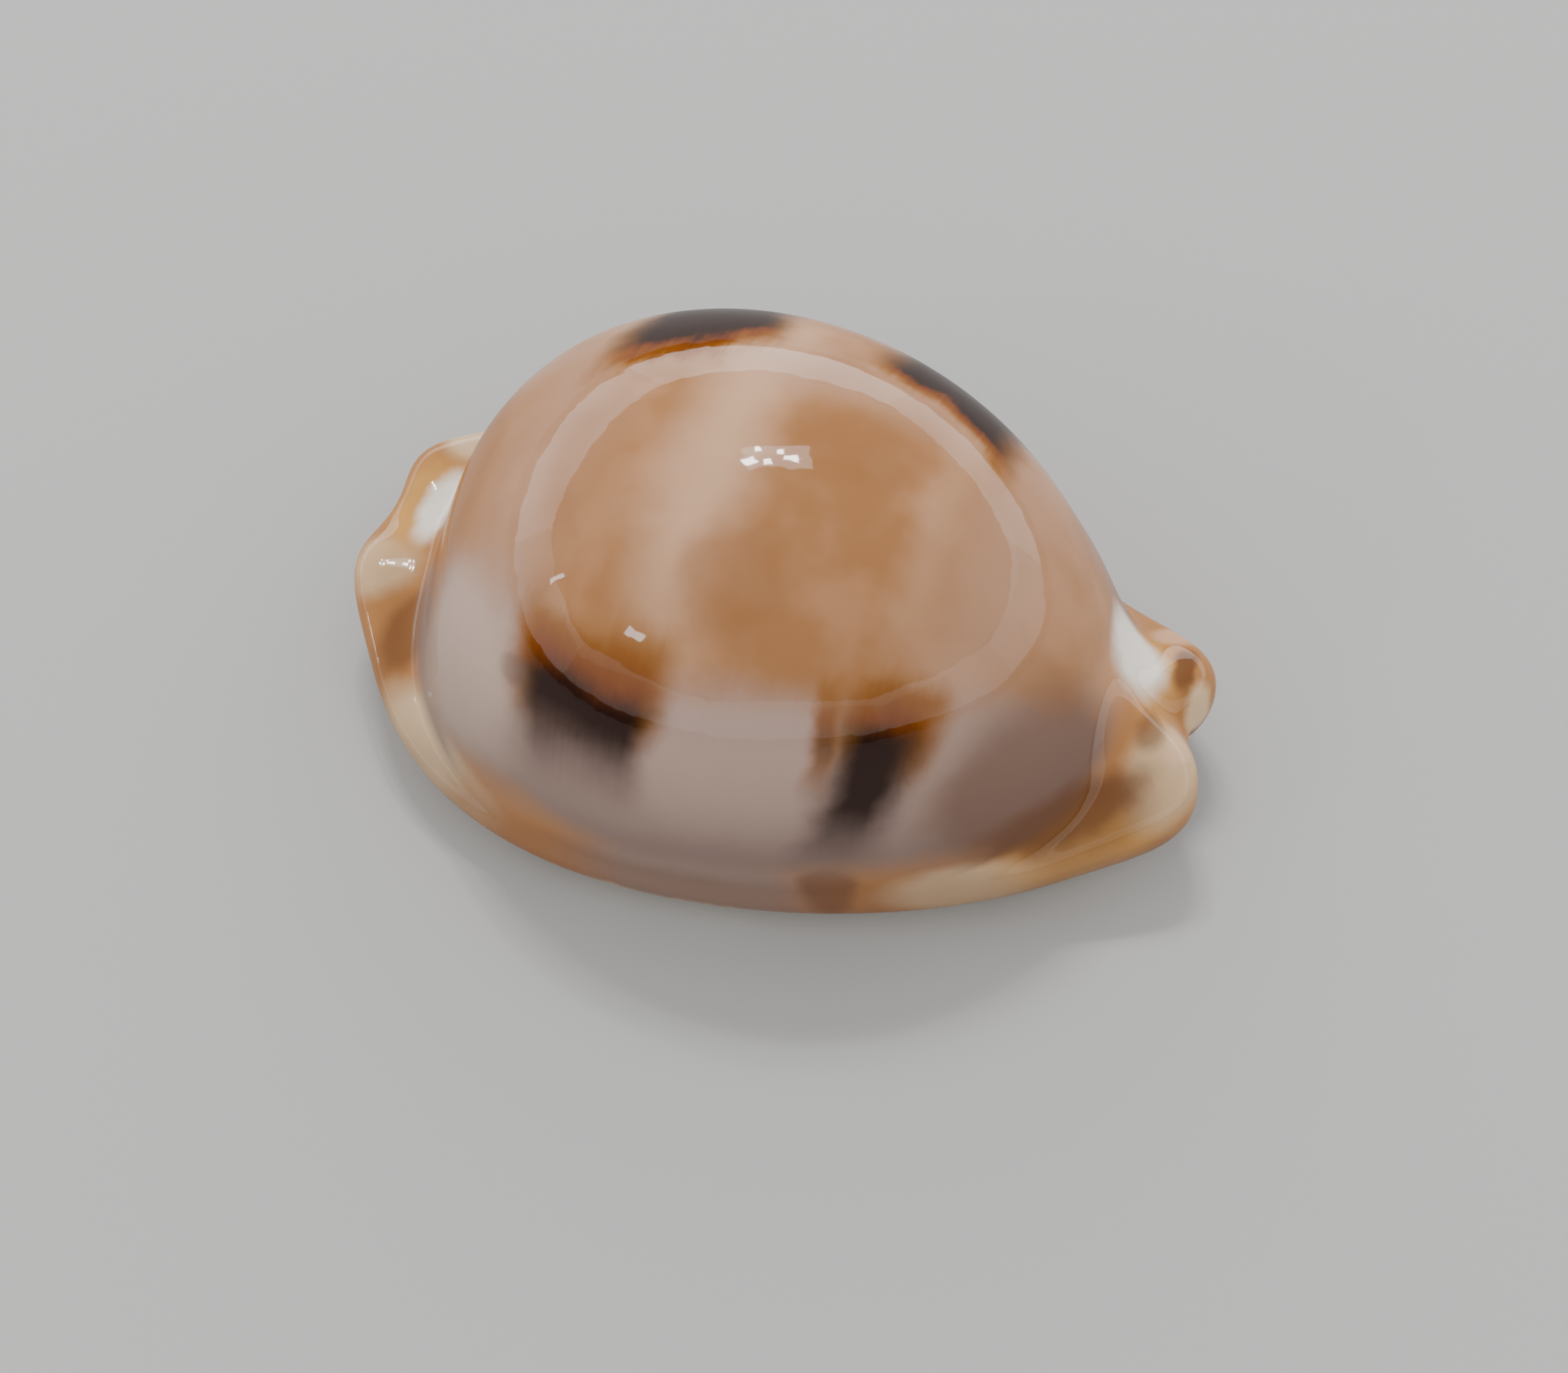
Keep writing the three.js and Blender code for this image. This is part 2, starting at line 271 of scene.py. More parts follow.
def skin(form, v):
    """Points of the shell's skin in metres: the crown's rows, then one row for each place."""
    crown = [form.dome(theta) for theta in np.radians(np.arange(CROWN_ROWS) * CROWN_ANGLE / CROWN_ROWS)]
    lower = spline(form.rings(), v)
    for row, place in enumerate(v):
        blend = smoothstep(place, *HAND_OVER)
        if blend < 1:
            on_dome = form.dome(np.radians(CROWN_ANGLE + form.dome_step() * place))
            lower[row] += (on_dome - lower[row]) * (1 - blend)
    points = np.concatenate([crown, lower])
    points[..., 2] = np.maximum(points[..., 2], 0)
    return (points + CENTRE_SHIFT) * MM


def row_places():
    """Places of the rows below the crown: close together round the rim and over the lips."""
    last = ROW_SPANS[-1][1]
    places = [np.arange(low, high - 1e-6, step) for low, high, step in ROW_SPANS]
    return np.concatenate(places + [[last]])


def skin_mesh(sizes):
    """The closed skin as a mesh, with what the teeth and the colours need stored on it."""
    even = np.linspace(0, 2 * np.pi, sizes.columns, endpoint=False)
    form = Form(sizes, even - CROWD_TO_ENDS / 2 * np.sin(2 * even))
    v = row_places()
    points = skin(form, v)
    rows, columns = points.shape[:2]
    top, bottom = points[0].mean(0), points[-1].mean(0)
    verts = np.concatenate([[top], points[1:-1].reshape(-1, 3), [bottom]])
    index = 1 + np.arange((rows - 2) * columns).reshape(rows - 2, columns)
    after = np.roll(index, -1, 1)
    quads = np.stack([index[:-1], index[1:], after[1:], after[:-1]], -1).reshape(-1, 4)
    top_fan = np.stack([0 * index[0], index[0], after[0]], -1)
    bottom_fan = np.stack([0 * index[0] + len(verts) - 1, after[-1], index[-1]], -1)
    mesh = bpy.data.meshes.new(NODE + "_skin")
    mesh.from_pydata(verts.tolist(), [], quads.tolist() + top_fan.tolist() + bottom_fan.tolist())
    place = np.concatenate([np.zeros(CROWN_ROWS), v])[1:-1]
    store(mesh, "place", 0, np.repeat(place, columns), v[-1])
    along_slit = form.slit[0] / (2 * sizes.slit_half_length / MM) + 0.5
    store(mesh, "lip_run", 0, np.tile(along_slit, rows - 2), 0)
    store(mesh, "lip_side", 0, np.tile(form.sin, rows - 2), 0)
    return mesh


def store(mesh, name, first, between, last):
    """Keeps one number for each vertex under a name."""
    values = np.concatenate([[first], between, [last]]).astype(np.float32)
    mesh.attributes.new(name, "FLOAT", "POINT").data.foreach_set("value", values)


# ---------------------------------------------------------------- node helpers

NODES_IN_ROW, NODE_ACROSS, NODE_DOWN = 12, 190, 260  # how the nodes are spread out in the editor


class Tree:
    """Short ways to add and link nodes."""

    def __init__(self, tree):
        self.nodes, self.links = tree.nodes, tree.links
        self.count = 0

    def add(self, kind, *inputs, **settings):
        """Adds a node. Inputs are in socket order; None leaves a socket alone."""
        node = self.nodes.new(kind)
        self.count += 1
        row, column = divmod(self.count, NODES_IN_ROW)
        node.location = (column * NODE_ACROSS, -row * NODE_DOWN)
        for name, value in settings.items():
            setattr(node, name, value)
        for socket, value in zip(node.inputs, inputs):
            self.feed(socket, value)
        return node

    def feed(self, socket, value):
        if value is None:
            return
        if hasattr(value, "is_output"):
            self.links.new(value, socket)
        else:
            socket.default_value = value

    def math(self, operation, a, b=None, c=None):
        return self.add("ShaderNodeMath", a, b, c, operation=operation).outputs[0]

    def vector(self, operation, a, b=None):
        node = self.add("ShaderNodeVectorMath", operation=operation)
        self.feed(node.inputs[0], a)
        self.feed(node.inputs[1], b)
        return node

    def fade(self, value, low, high, start=0.0, end=1.0):
        """Smooth change from start to end while value goes from low to high."""
        node = self.add("ShaderNodeMapRange", value, low, high, start, end,
                        interpolation_type="SMOOTHSTEP")
        return node.outputs[0]


# ---------------------------------------------------------------- teeth of the lips

OUTER_TEETH, INNER_TEETH = 25, 23
TOOTH_HEIGHT = 0.0004  # metres
OUTER_LIP_START, INNER_LIP_START = 10.75, 11.3  # places at which the teeth begin
TEETH_RISE = 0.8  # they rise over this many places
TEETH_FADE = (12.9, 13.8)  # places over which they fade in the throat
TEETH_ENDS = (0.42, 0.485)  # distances from the slit's middle over which they fade, 0.5 at its ends
INNER_SIDE = (-0.05, 0.05)  # the side value goes from the outer lip to the inner lip over this
TOOTH_SHARPNESS = 1.4
TOOTH_SUNK = 0.35  # share of a tooth's height by which the gaps are sunk into the lip


def group_input(tree, name, kind, value, low, high):
    socket = tree.interface.new_socket(name, in_out="INPUT", socket_type=kind)
    socket.default_value, socket.min_value, socket.max_value = value, low, high
    return socket.identifier


def teeth_tree(material):
    """Raises a row of ridges along each lip, across the slit's edge."""
    tree = bpy.data.node_groups.new("Lip Teeth", "GeometryNodeTree")
    tree.is_modifier = True
    tree.interface.new_socket("Geometry", in_out="INPUT", socket_type="NodeSocketGeometry")
    tree.interface.new_socket("Geometry", in_out="OUTPUT", socket_type="NodeSocketGeometry")
    keys = {
        "outer_teeth": group_input(tree, "Outer Lip Teeth", "NodeSocketInt", OUTER_TEETH, 0, 60),
        "inner_teeth": group_input(tree, "Inner Lip Teeth", "NodeSocketInt", INNER_TEETH, 0, 60),
        "tooth_height": group_input(tree, "Tooth Height", "NodeSocketFloat", TOOTH_HEIGHT, 0.0, 0.001),
    }
    b = Tree(tree)
    given = b.add("NodeGroupInput").outputs
    run = named(b, "lip_run")
    place = named(b, "place")
    side = named(b, "lip_side")
    inner = b.fade(side, *INNER_SIDE)
    count = b.add("ShaderNodeMix", inner, data_type="FLOAT")
    b.feed(count.inputs[2], given["Outer Lip Teeth"])
    b.feed(count.inputs[3], given["Inner Lip Teeth"])
    phase = b.math("MULTIPLY", b.math("MULTIPLY", run, count.outputs[0]), 2 * math.pi)
    wave = b.math("MULTIPLY_ADD", b.math("COSINE", phase), 0.5, 0.5)
    ridge = b.math("POWER", wave, TOOTH_SHARPNESS)
    starts = b.fade(inner, 0, 1, OUTER_LIP_START, INNER_LIP_START)
    rising = b.fade(b.math("SUBTRACT", place, starts), 0.0, TEETH_RISE)
    falling = b.fade(place, *TEETH_FADE, 1, 0)
    from_middle = b.math("ABSOLUTE", b.math("SUBTRACT", run, 0.5))
    ends = b.fade(from_middle, *TEETH_ENDS, 1, 0)
    reach = b.math("MULTIPLY", b.math("MULTIPLY", rising, falling), ends)
    centred = b.math("SUBTRACT", ridge, TOOTH_SUNK)
    height = b.math("MULTIPLY", b.math("MULTIPLY", centred, reach), given["Tooth Height"])
    offset = b.vector("SCALE", b.add("GeometryNodeInputNormal").outputs[0])
    b.feed(offset.inputs["Scale"], height)
    raised = b.vector("ADD", b.add("GeometryNodeInputPosition").outputs[0], offset.outputs[0])
    above = b.vector("MAXIMUM", raised.outputs[0], (-1.0, -1.0, 0.0))  # none reaches below the base
    moved = b.add("GeometryNodeSetPosition", given["Geometry"])
    b.feed(moved.inputs["Position"], above.outputs[0])
    marked = b.add("GeometryNodeStoreNamedAttribute", moved.outputs[0], data_type="FLOAT", domain="POINT")
    marked.inputs["Name"].default_value = "tooth"
    b.feed(marked.inputs["Value"], b.math("MULTIPLY", ridge, reach))
    real = b.add("GeometryNodeRealizeInstances", marked.outputs[0])
    painted = b.add("GeometryNodeSetMaterial", real.outputs[0])
    painted.inputs["Material"].default_value = material
    b.add("NodeGroupOutput", painted.outputs[0])
    return tree, keys


def named(b, name):
    """A number kept on the mesh under a name."""
    node = b.add("GeometryNodeInputNamedAttribute", data_type="FLOAT")
    node.inputs["Name"].default_value = name
    return node.outputs["Attribute"]


def evaluated_mesh(obj):
    """The object's mesh with its modifiers applied, as plain data."""
    graph = bpy.context.evaluated_depsgraph_get()
    return bpy.data.meshes.new_from_object(obj.evaluated_get(graph), depsgraph=graph)


# ---------------------------------------------------------------- colours and marks of the shell
# Places on the shell are in millimetres. Level is the height, raised towards the two ends,
# so that it follows the lines along which the colours change.

LEVEL_BEND = 0.02  # level = z + LEVEL_BEND * x ** 2
END_BEND = 0.00018  # where the crown ends on the inner lip's side, END_BEND * x ** 4 is added to it
END_BEND_SIDE = (-5.0, -1.0)  # y over which that comes in
STREAK_RADII = (0.16, 5.0, 5.0)  # fine streaks run round the shell
STREAK_REACH = 0.25  # and move the level by up to half of this
WANDERING = ((0.22, 1.6), (1.3, 0.35))  # edges wander by noise: its scale, and its reach

# Changes of colour: between two values of the noise, the height, the level or the place down the skin
PATCH_SCALE = 0.28
WARM_PATCHES = (0.42, 0.62)
BASE_PATCHES = (0.5, 0.66)
CROWN_LEVELS = (9.9, 11.8)
# heights over which the flanks darken to mauve, a painted shade
MAUVE_SHADE_HEIGHTS = (9.0, 4.0)
RIM_PLACES = (4.2, 5.0)
# heights over which the rim darkens towards the base, a painted shade
RIM_SHADE_HEIGHTS = (3.6, 2.0)
MARGIN_HEIGHTS, MARGIN_ENDS = (4.8, 2.4), (10.0, 8.0)
BASE_HEIGHTS = (1.3, 0.4)
LIP_PLACES = (9.8, 11.2)
TOOTH_RIDGES = (0.2, 0.7)
INSIDE_PLACES = (13.2, 14.4)

# Rose round the crown: middle, half width and softness, along the shell and across it
ROSE_ALONG, ROSE_ACROSS, ROSE_STRENGTH = (7.7, 1.2, 1.9), (3.6, 0.8, 1.6), 0.6

# Dark square marks, two on each flank, and a narrow streak. Side is -1 on the outer lip's flank and 1 on
# the inner lip's. Middle and half are the middle and the half width along the shell. Top is the level at
# which the gold begins, gold the depth at which it is full, and dark the depth at which the mark is
# darkest. Foot is the height over which the mark fades away, down to the level bottom.
# Tilt is how far the top rises for each millimetre forward. Lean is how far the mark slants back, and
# narrowing the share by which it narrows, for each millimetre down.
BLOTCHES = (
    dict(side=-1, middle=-4.0, half=2.8, tilt=0.11, lean=-0.08, narrowing=0.04,
         top=12.2, gold=1.3, dark=2.8, bottom=5.2, foot=3.8, strength=1.0),
    dict(side=-1, middle=6.1, half=1.55, tilt=-0.25, lean=0.2, narrowing=0.04,
         top=12.0, gold=1.1, dark=2.5, bottom=3.2, foot=4.4, strength=1.0),
    dict(side=-1, middle=3.95, half=0.4, tilt=0.0, lean=0.05, narrowing=0.0,
         top=12.0, gold=0.7, dark=2.7, bottom=7.4, foot=3.0, strength=0.75),
    dict(side=1, middle=-4.7, half=3.0, tilt=0.0, lean=0.0, narrowing=0.05,
         top=13.65, gold=0.5, dark=0.85, bottom=6.0, foot=4.0, strength=1.0),
    dict(side=1, middle=3.8, half=2.8, tilt=0.0, lean=0.0, narrowing=0.05,
         top=13.2, gold=0.5, dark=0.85, bottom=5.4, foot=4.0, strength=1.0),
)
MARK_SIDE = (1.0, 3.0)  # distances from the middle line between which a mark comes in
GOLD_SOFT, GOLD_SOFT_SHARE = 0.8, 0.7  # softness of the gold's sides, but at most this share of half
GOLD_FADE = 1.6  # the gold fades out over this much more depth than dark
HEART_INSET, HEART_INSET_SHARE = 0.3, 0.2  # how much narrower the heart is, but at most this share
HEART_SOFT, HEART_SOFT_SHARE = 0.9, 0.6  # softness of its sides, but at most this share
HEART_TOP = (0.4, 0.75)  # it comes in between this share of gold and this share of dark
RUST_END = 0.6  # rust turns dark between this share of dark and dark itself

# Pale bands across the shell: middle and half width along it, strength
PALE_BANDS = ((-1.95, 1.3, 0.58), (5.4, 0.6, 0.22), (10.6, 1.2, 0.3), (-10.2, 1.0, 0.25))
PALE_HEIGHTS = (10.5, 13.4)  # they come in over these heights
PALE_BELOW = 0.2  # share of their strength below them

SPOT_CORE = 0.45  # share of its radii within which a soft spot is full

# Soft spots: colour, centre, radii, turn in degrees, strength
DOME_SPOTS = (
    ("deep", (0.0, -5.0, 12.9), (2.6, 2.6, 2.6), 0, 0.6),
    ("deep", (2.2, 0.6, 14.0), (3.2, 2.2, 2.2), 0, 0.5),
    ("deep", (-6.0, -1.5, 12.4), (2.0, 3.4, 2.4), 0, 0.4),
    # painted shade on the flank near the front canal
    ("umber_shade", (10.0, -4.4, 5.6), (4.8, 5.0, 5.0), 0, 0.8),
    ("milk", (-8.6, -6.6, 6.4), (4.6, 4.0, 4.0), 0, 0.3),
    ("pale", (10.6, 0.8, 6.6), (2.6, 3.2, 3.6), 0, 0.1),
    ("deep", (-11.2, -0.6, 7.5), (2.2, 5.0, 4.5), 0, 0.7),
    ("deep", (9.5, 4.0, 7.0), (3.0, 2.5, 3.0), 0, 0.5),
    # grey below the outer lip's mark: partly milky enamel, partly painted reflection
    ("enamel_and_reflection", (-6.2, -7.7, 8.5), (0.8, 0.8, 0.7), 0, 0.45),
    ("white", (11.5, 1.8, 5.5), (2.3, 1.55, 2.0), -62, 1.0),
    ("amber", (-6.0, -9.2, 3.2), (2.6, 2.2, 2.2), 0, 0.35),
    # painted shade along the groove by the front canal
    ("brown_and_groove_shade", (11.0, -4.4, 4.0), (4.2, 1.1, 1.8), 46, 0.7),
)
RIM_SPOTS = (
    # back end
    ("cream", (-13.9, -2.1, 4.1), (1.8, 1.8, 1.6), 0, 0.65),
    ("cream", (-13.4, 4.8, 3.3), (1.6, 1.9, 1.6), 0, 0.9),
    # painted shade in the groove at the back end
    ("brown_and_groove_shade", (-12.0, -4.4, 3.6), (1.2, 2.7, 1.6), -20, 0.65),
    ("ochre", (-13.5, 1.0, 3.9), (1.6, 3.0, 1.6), 0, 0.8),
    ("white", (-12.9, 1.1, 3.9), (0.95, 2.4, 1.8), 0, 1.0),
    ("cream", (-10.3, -7.7, 2.6), (2.9, 1.7, 1.9), -38, 0.9),
    ("cream", (-8.6, -8.6, 2.2), (2.6, 1.9, 1.8), -30, 0.4),
    # side margins
    ("margin", (0.4, -9.7, 2.2), (5.6, 4.0, 4.0), 0, 1.0),
    ("margin", (0.0, 9.9, 2.0), (5.6, 4.0, 4.0), 0, 1.0),
    # brown patch on the outer margin, darkened further as painted shade
    ("brown_and_groove_shade", (4.7, -8.5, 2.6), (1.1, 1.7, 1.8), 0, 0.7),
    ("cream", (8.9, -6.7, 2.2), (3.6, 2.0, 1.6), 30, 0.7),
    ("cream", (-9.0, 7.6, 2.4), (3.0, 2.0, 1.6), 0, 0.9),
    ("cream", (8.6, 7.3, 2.4), (3.0, 2.0, 1.6), 0, 0.9),
    # front end
    ("ochre", (12.2, -4.7, 3.0), (4.0, 2.2, 2.2), 40, 0.6),
    ("cream", (13.8, -1.7, 4.4), (1.9, 2.4, 2.2), 0, 0.7),
    # these two: painted shade along the groove beside the front canal
    ("brown_and_groove_shade", (11.8, -4.2, 3.9), (3.8, 1.6, 1.7), 46, 0.5),
    ("brown_and_groove_shade", (11.4, -3.9, 4.0), (3.9, 1.0, 1.6), 46, 0.75),
    ("pale", (14.0, -0.6, 4.7), (0.7, 1.2, 0.8), 0, 0.5),
    ("ochre", (11.9, 1.9, 5.3), (3.2, 1.9, 2.1), -62, 0.6),
    ("white", (11.5, 1.8, 5.5), (2.3, 1.55, 2.0), -62, 1.0),
    ("brown_and_groove_shade", (12.9, -0.9, 5.3), (0.8, 1.2, 1.0), 0, 0.6),
    ("pale", (12.5, 4.1, 4.1), (1.0, 1.0, 1.0), 0, 0.5),
    # painted shade in the pit beside the front canal
    ("brown_and_groove_shade", (13.3, 2.4, 4.7), (0.65, 1.4, 1.1), 0, 0.85),
    ("cream", (14.2, 1.6, 3.7), (0.9, 1.1, 1.4), 0, 0.9),
)


def paint(b, under, factor, over):
    """Lays a colour over another, as strongly as factor says."""
    mix = b.add("ShaderNodeMix", factor, data_type="RGBA")
    b.feed(mix.inputs[6], under)
    b.feed(mix.inputs[7], over)
    return mix.outputs[2]


def noise(b, at, scale, detail=2.0, roughness=0.5):
    node = b.add("ShaderNodeTexNoise")
    b.feed(node.inputs["Vector"], at)
    node.inputs["Scale"].default_value = scale
    node.inputs["Detail"].default_value = detail
    node.inputs["Roughness"].default_value = roughness
    return node


def mapped(b, at, centre=(0, 0, 0), radii=(1, 1, 1), turn=0):
    """Moves a place so that a centre and radii become the origin and one. Turn is about the vertical."""
    node = b.add("ShaderNodeMapping", at, vector_type="TEXTURE")
    node.inputs["Location"].default_value = centre
    node.inputs["Rotation"].default_value = (0, 0, math.radians(turn))
    node.inputs["Scale"].default_value = radii
    return node.outputs[0]


def wandering(b, at, scale, reach):
    """Shifts a place by smooth noise, so that what is drawn there has an uneven edge."""
    shift = b.vector("SUBTRACT", noise(b, at, scale, 3.0).outputs["Color"], (0.5, 0.5, 0.5)).outputs[0]
    scaled = b.vector("SCALE", shift)
    scaled.inputs["Scale"].default_value = reach
    return b.vector("ADD", at, scaled.outputs[0]).outputs[0]


def band(b, x, middle, half, soft):
    """1 around middle, fading to 0 between half - soft and half + soft away from it."""
    away = b.math("ABSOLUTE", b.math("SUBTRACT", x, middle))
    return b.fade(away, half + soft, max(half - soft, 0.0))


def blotch(b, under, x, y, level, mark, colours):
    """A square mark: gold at its top, near black below, and grey where it fades at its foot, the grey
    partly milky enamel and partly painted reflection.
    """
    half, gold, dark = mark["half"], mark["gold"], mark["dark"]
    along = b.math("SUBTRACT", x, mark["middle"])
    depth = b.math("MULTIPLY_ADD", along, mark["tilt"], b.math("SUBTRACT", mark["top"], level))
    across = b.math("MULTIPLY_ADD", depth, mark["lean"], along)
    across = b.math("MULTIPLY", across, b.math("MULTIPLY_ADD", depth, mark["narrowing"], 1.0))
    shown = b.fade(b.math("MULTIPLY", y, mark["side"]), *MARK_SIDE, 0.0, mark["strength"])
    halo = band(b, across, 0.0, half, min(GOLD_SOFT, GOLD_SOFT_SHARE * half))
    halo = b.math("MULTIPLY", halo, b.fade(depth, 0.0, gold))
    halo = b.math("MULTIPLY", halo, b.fade(depth, dark + GOLD_FADE, dark))
    colour = paint(b, under, b.math("MULTIPLY", halo, shown), rgb(colours.gold))
    heart_half = half - min(HEART_INSET, HEART_INSET_SHARE * half)
    heart = band(b, across, 0.0, heart_half, min(HEART_SOFT, HEART_SOFT_SHARE * half))
    heart = b.math("MULTIPLY", heart, b.fade(depth, HEART_TOP[0] * gold, HEART_TOP[1] * dark))
    foot_top = mark["bottom"] + mark["foot"]
    foot = b.add("ShaderNodeMapRange", level, foot_top, mark["bottom"], 0.0, 1.0).outputs[0]
    heart = b.math("MULTIPLY", heart, b.fade(foot, 0.0, 1.0, 1.0, 0.0))
    stain = paint(b, rgb(colours.rust), b.fade(depth, RUST_END * dark, dark), rgb(colours.dark))
    # grey foot: partly the mark thinning under milky enamel, partly painted reflection
    stain = paint(b, stain, foot, rgb(colours.enamel_and_reflection))
    return paint(b, colour, b.math("MULTIPLY", heart, shown), stain)


def spots(b, under, at, marks, colours):
    """Lays soft round spots over a colour."""
    for name, centre, radii, turn, strength in marks:
        away = b.vector("LENGTH", mapped(b, at, centre, radii, turn)).outputs["Value"]
        under = paint(b, under, b.fade(away, 1.0, SPOT_CORE, 0.0, strength), rgb(getattr(colours, name)))
    return under


def dome_colour(b, at, soft, colours):
    """Tan crown with pale bands, lilac flanks and dark square marks."""
    x, y, z = b.add("ShaderNodeSeparateXYZ", soft).outputs
    squared = b.math("MULTIPLY", x, x)
    level = b.math("MULTIPLY_ADD", squared, LEVEL_BEND, z)
    streaky = noise(b, mapped(b, at, radii=STREAK_RADII), 1.0, 3.0).outputs["Fac"]
    level = b.math("MULTIPLY_ADD", b.math("SUBTRACT", streaky, 0.5), STREAK_REACH, level)
    patches = noise(b, at, PATCH_SCALE, 3.0).outputs["Fac"]
    tan = paint(b, rgb(colours.tan), b.fade(patches, *WARM_PATCHES), rgb(colours.warm))
    for middle, half, strength in PALE_BANDS:
        pale = band(b, x, middle, half, half)
        pale = b.math("MULTIPLY", pale, b.fade(z, *PALE_HEIGHTS, PALE_BELOW * strength, strength))
        tan = paint(b, tan, pale, rgb(colours.pale))
    along, across = band(b, b.math("ABSOLUTE", x), *ROSE_ALONG), band(b, y, *ROSE_ACROSS)
    outward = b.math("MULTIPLY", b.math("MAXIMUM", along, across), ROSE_STRENGTH)
    tan = paint(b, tan, outward, rgb(colours.rose))
    # painted shade: the flanks darken from lilac to mauve lower down, where they face the floor
    flank = paint(b, rgb(colours.lilac), b.fade(z, *MAUVE_SHADE_HEIGHTS), rgb(colours.mauve_shade))
    bend = b.fade(y, *END_BEND_SIDE, 0.0, END_BEND)
    to_ends = b.math("MULTIPLY", b.math("MULTIPLY", squared, squared), bend)
    colour = paint(b, flank, b.fade(b.math("ADD", level, to_ends), *CROWN_LEVELS), tan)
    for mark in BLOTCHES:
        colour = blotch(b, colour, x, y, level, mark, colours)
    return spots(b, colour, soft, DOME_SPOTS, colours)


def shell_colour(b, at, place, colours):
    """Colour of the shell's skin at a place in millimetres."""
    soft = at
    for scale, reach in WANDERING:
        soft = wandering(b, soft, scale, reach)
    x, _, z = b.add("ShaderNodeSeparateXYZ", soft).outputs
    colour = dome_colour(b, at, soft, colours)
    rim = spots(b, rgb(colours.amber), soft, RIM_SPOTS, colours)
    # painted shade: the rim darkens in umber towards the base
    rim = paint(b, rim, b.fade(z, *RIM_SHADE_HEIGHTS, 0.0, 0.5), rgb(colours.umber_shade))
    low = b.math("MULTIPLY", b.fade(z, *MARGIN_HEIGHTS), b.fade(b.math("ABSOLUTE", x), *MARGIN_ENDS))
    colour = paint(b, colour, b.math("MAXIMUM", low, b.fade(place, *RIM_PLACES)), rim)
    patches = noise(b, at, PATCH_SCALE, 3.0).outputs["Fac"]
    under = paint(b, rgb(colours.base), b.fade(patches, *BASE_PATCHES, 0.0, 0.5), rgb(colours.amber))
    return paint(b, colour, b.fade(z, *BASE_HEIGHTS), under)


def rgb(colour):
    return (*colour, 1.0)


GLAZE_WAVES, GLAZE_SCALE = 0.012, 0.8  # height of the glaze's slow unevenness, and its noise scale
GRAIN_RADII = (0.12, 2.0, 2.0)  # the roughness varies in fine streaks round the shell
ROUGHNESS = (0.26, 0.36)  # least and most


def shell_material(colours):
    """The finish: colours and marks below a thin clear gloss."""
    material = bpy.data.materials.new("cowrie_porcelain")
    material.use_nodes = True
    material.node_tree.nodes.clear()
    b = Tree(material.node_tree)
    to_mm = b.vector("SCALE", b.add("ShaderNodeTexCoord").outputs["Object"])
    to_mm.inputs["Scale"].default_value = 1 / MM
    at = to_mm.outputs[0]
    place = b.add("ShaderNodeAttribute", attribute_name="place").outputs["Fac"]
    colour = shell_colour(b, at, place, colours)
    tooth = b.add("ShaderNodeAttribute", attribute_name="tooth").outputs["Fac"]
    colour = paint(b, colour, b.fade(place, *LIP_PLACES), rgb(colours.lip))
    colour = paint(b, colour, b.fade(tooth, *TOOTH_RIDGES), rgb(colours.white))
    colour = paint(b, colour, b.fade(place, *INSIDE_PLACES), rgb(colours.inside))
    grain = noise(b, mapped(b, at, radii=GRAIN_RADII), 1.0, 2.0).outputs["Fac"]
    shader = b.add("ShaderNodeBsdfPrincipled")
    b.feed(shader.inputs["Base Color"], colour)
    b.feed(shader.inputs["Roughness"], b.fade(grain, 0.3, 0.7, *ROUGHNESS))
    glaze = b.add("ShaderNodeBump", 1.0, GLAZE_WAVES * MM)
    b.feed(glaze.inputs["Height"], noise(b, at, GLAZE_SCALE, 2.0).outputs["Fac"])
    b.feed(shader.inputs["Normal"], glaze.outputs[0])
    b.feed(shader.inputs["Coat Normal"], glaze.outputs[0])
    shader.inputs["IOR"].default_value = 1.55
    shader.inputs["Coat Weight"].default_value = 0.45
    shader.inputs["Coat Roughness"].default_value = 0.035
    shader.inputs["Specular IOR Level"].default_value = 0.0
    shader.inputs["Coat IOR"].default_value = 1.5
    b.add("ShaderNodeOutputMaterial", shader.outputs[0])
    return material


# ---------------------------------------------------------------- settings


def length_setting(name, description, default, low, high):
    return FloatProperty(name=name, description=description, default=default,
                         unit="LENGTH", min=low, max=high)


def count_setting(name, description, default, low, high):
    return IntProperty(name=name, description=description, default=default, min=low, max=high)


def brightness_setting(name, description, default):
    return FloatProperty(name=name, description=description, default=default, min=0.0)


def colour_setting(name, description, default):
    return FloatVectorProperty(name=name, description=description, default=default,
                               subtype="COLOR", size=3, min=0, max=1)


